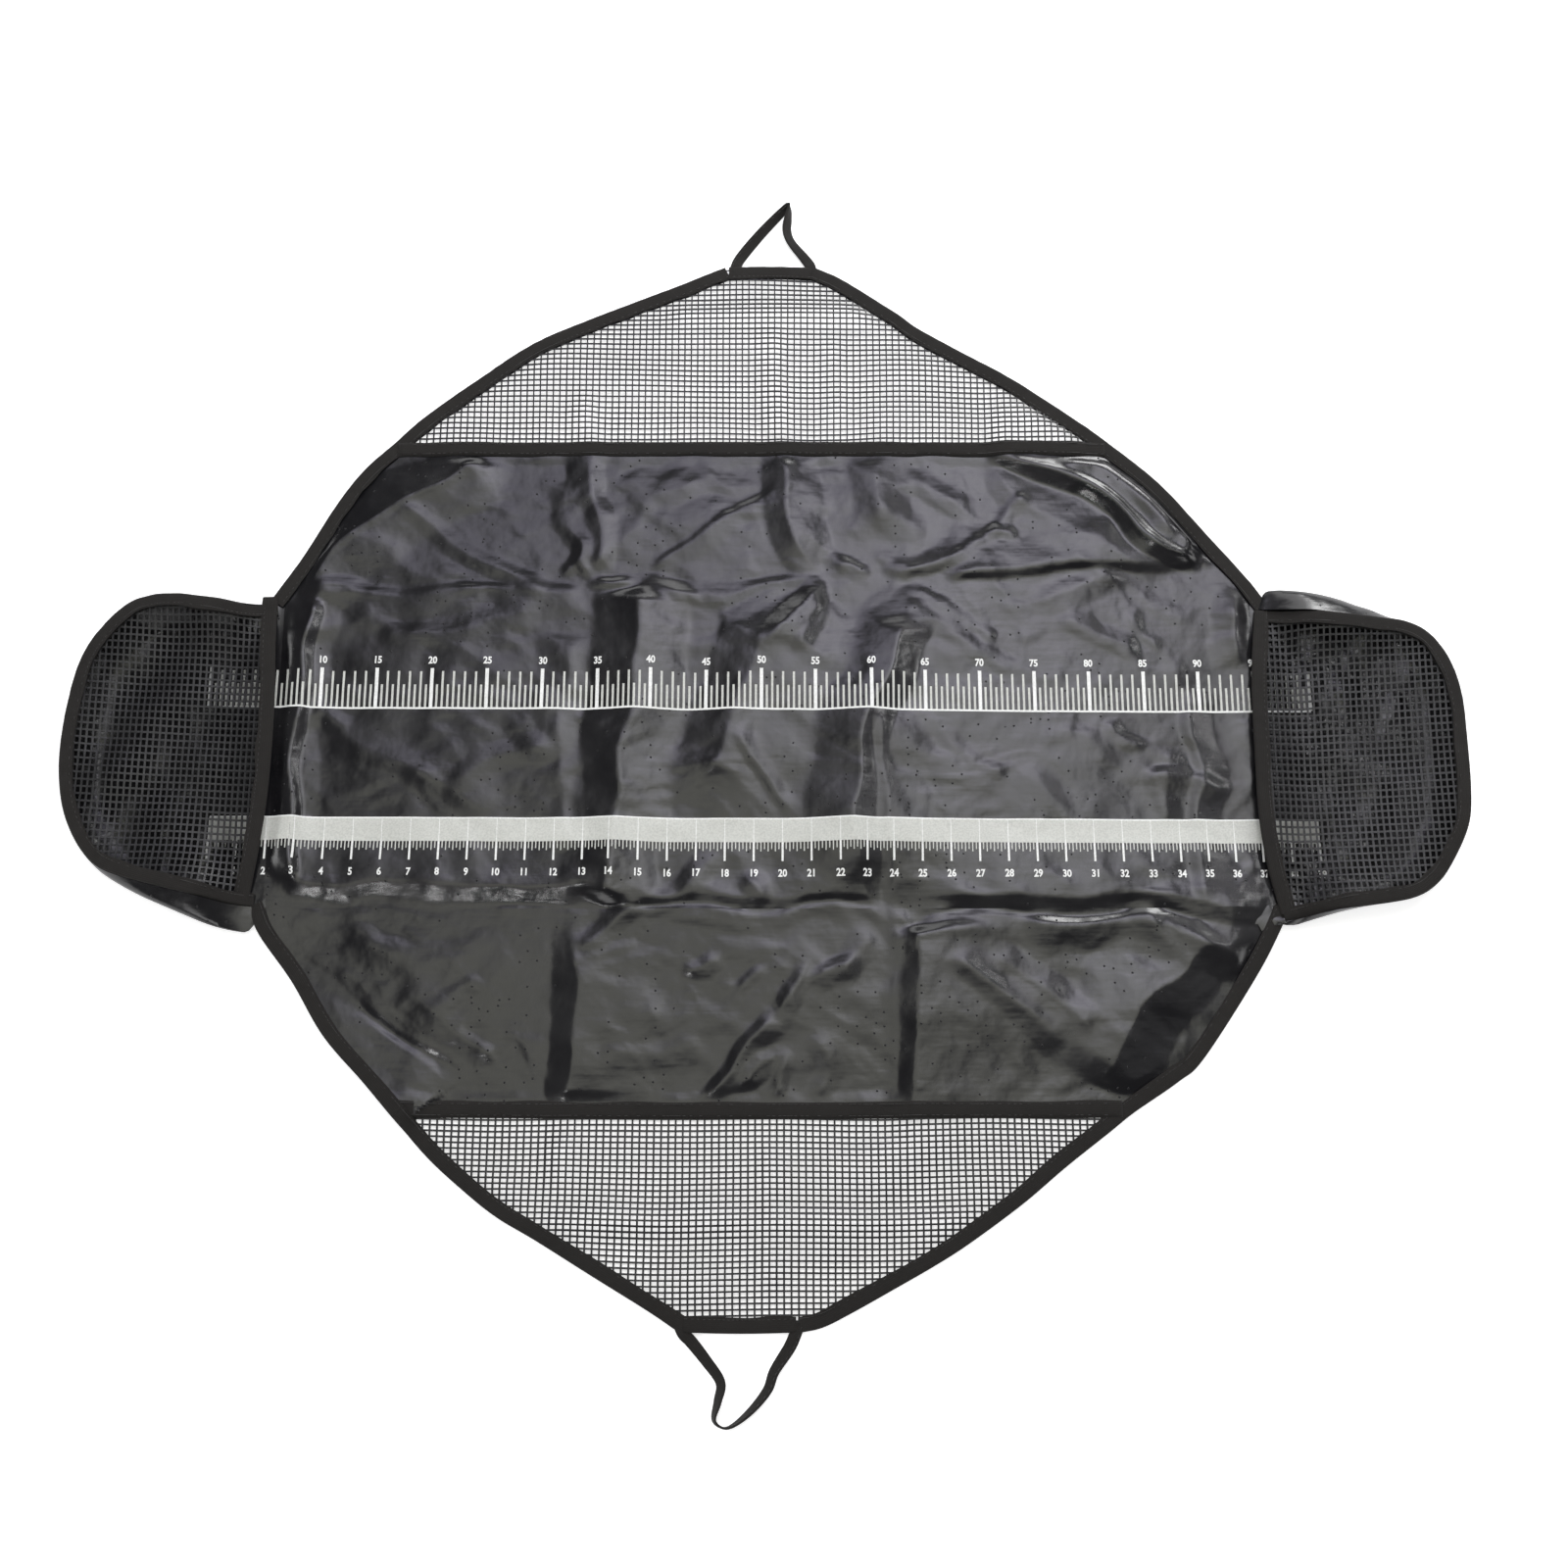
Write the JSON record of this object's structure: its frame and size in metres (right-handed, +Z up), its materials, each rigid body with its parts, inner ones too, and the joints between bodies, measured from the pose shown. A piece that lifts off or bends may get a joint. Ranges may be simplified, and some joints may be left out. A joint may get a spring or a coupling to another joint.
{
  "type": "weigh sling",
  "caption": "Flat fishing weigh sling: a PVC sheet with net-topped end pockets, fold-up sides with net flaps, taped edges and a hanging loop at each long side.",
  "frame": {"origin": "middle of the sling's bounding box, on the surface that it lies on", "axes": "+X along the printed ruler towards its high numbers, +Y towards the rear wing (the upper one in the picture), +Z up"},
  "size_m": [1.252, 1.1475, 0.0301],
  "materials": {
    "pvc": "glossy black PVC sheet",
    "net": "coated black mesh",
    "tape": "matt black woven binding tape"
  },
  "bodies": {
    "centre": {"centre_panel": "pvc"},
    "rear_side": {"rear_side_panel": "pvc", "rear_side_tape_left": "tape", "rear_side_tape_right": "tape", "rear_seam_tape": "tape"},
    "front_side": {"front_side_panel": "pvc", "front_side_tape_left": "tape", "front_side_tape_right": "tape", "front_seam_tape": "tape"},
    "rear_net_flap": {"rear_net": "net", "rear_net_tape_left": "tape", "rear_net_tape_right": "tape", "rear_end_tape": "tape"},
    "front_net_flap": {"front_net": "net", "front_net_tape_left": "tape", "front_net_tape_right": "tape", "front_end_tape": "tape"},
    "rear_hook_loop": {"rear_loop": "tape"},
    "front_hook_loop": {"front_loop": "tape"},
    "left_pocket": {"left_pocket_floor": "pvc", "left_pocket_net": "net", "left_pocket_rim_tape": "tape", "left_pocket_mouth_tape": "tape"},
    "right_pocket": {"right_pocket_floor": "pvc", "right_pocket_net": "net", "right_pocket_rim_tape": "tape", "right_pocket_mouth_tape": "tape"}
  },
  "joints": [
    {"name": "rear_side_fold", "type": "hinge", "parent": "centre", "child": "rear_side", "pos_m": [0, 0.1555, 0.0032], "axis": [1, 0, 0], "range_deg": [0, 80]},
    {"name": "front_side_fold", "type": "hinge", "parent": "centre", "child": "front_side", "pos_m": [0, -0.133, 0.0032], "axis": [-1, 0, 0], "range_deg": [0, 80]},
    {"name": "rear_net_fold", "type": "hinge", "parent": "rear_side", "child": "rear_net_flap", "pos_m": [0, 0.316, 0.0032], "axis": [1, 0, 0], "range_deg": [0, 30]},
    {"name": "front_net_fold", "type": "hinge", "parent": "front_side", "child": "front_net_flap", "pos_m": [0, -0.3165, 0.0032], "axis": [-1, 0, 0], "range_deg": [0, 30]},
    {"name": "rear_loop_swing", "type": "hinge", "parent": "rear_net_flap", "child": "rear_hook_loop", "pos_m": [0.005, 0.50215, 0.0032], "axis": [1, 0, 0], "range_deg": [0, 90]},
    {"name": "front_loop_swing", "type": "hinge", "parent": "front_net_flap", "child": "front_hook_loop", "pos_m": [-0.0215, -0.49415, 0.0032], "axis": [-1, 0, 0], "range_deg": [0, 90]},
    {"name": "right_pocket_fold", "type": "hinge", "parent": "centre", "child": "right_pocket", "pos_m": [0.444, 0.01125, 0.0041], "axis": [0, -1, 0], "range_deg": [0, 75]},
    {"name": "left_pocket_fold", "type": "hinge", "parent": "centre", "child": "left_pocket", "pos_m": [-0.444, 0.01125, 0.0041], "axis": [0, 1, 0], "range_deg": [0, 75]}
  ]
}
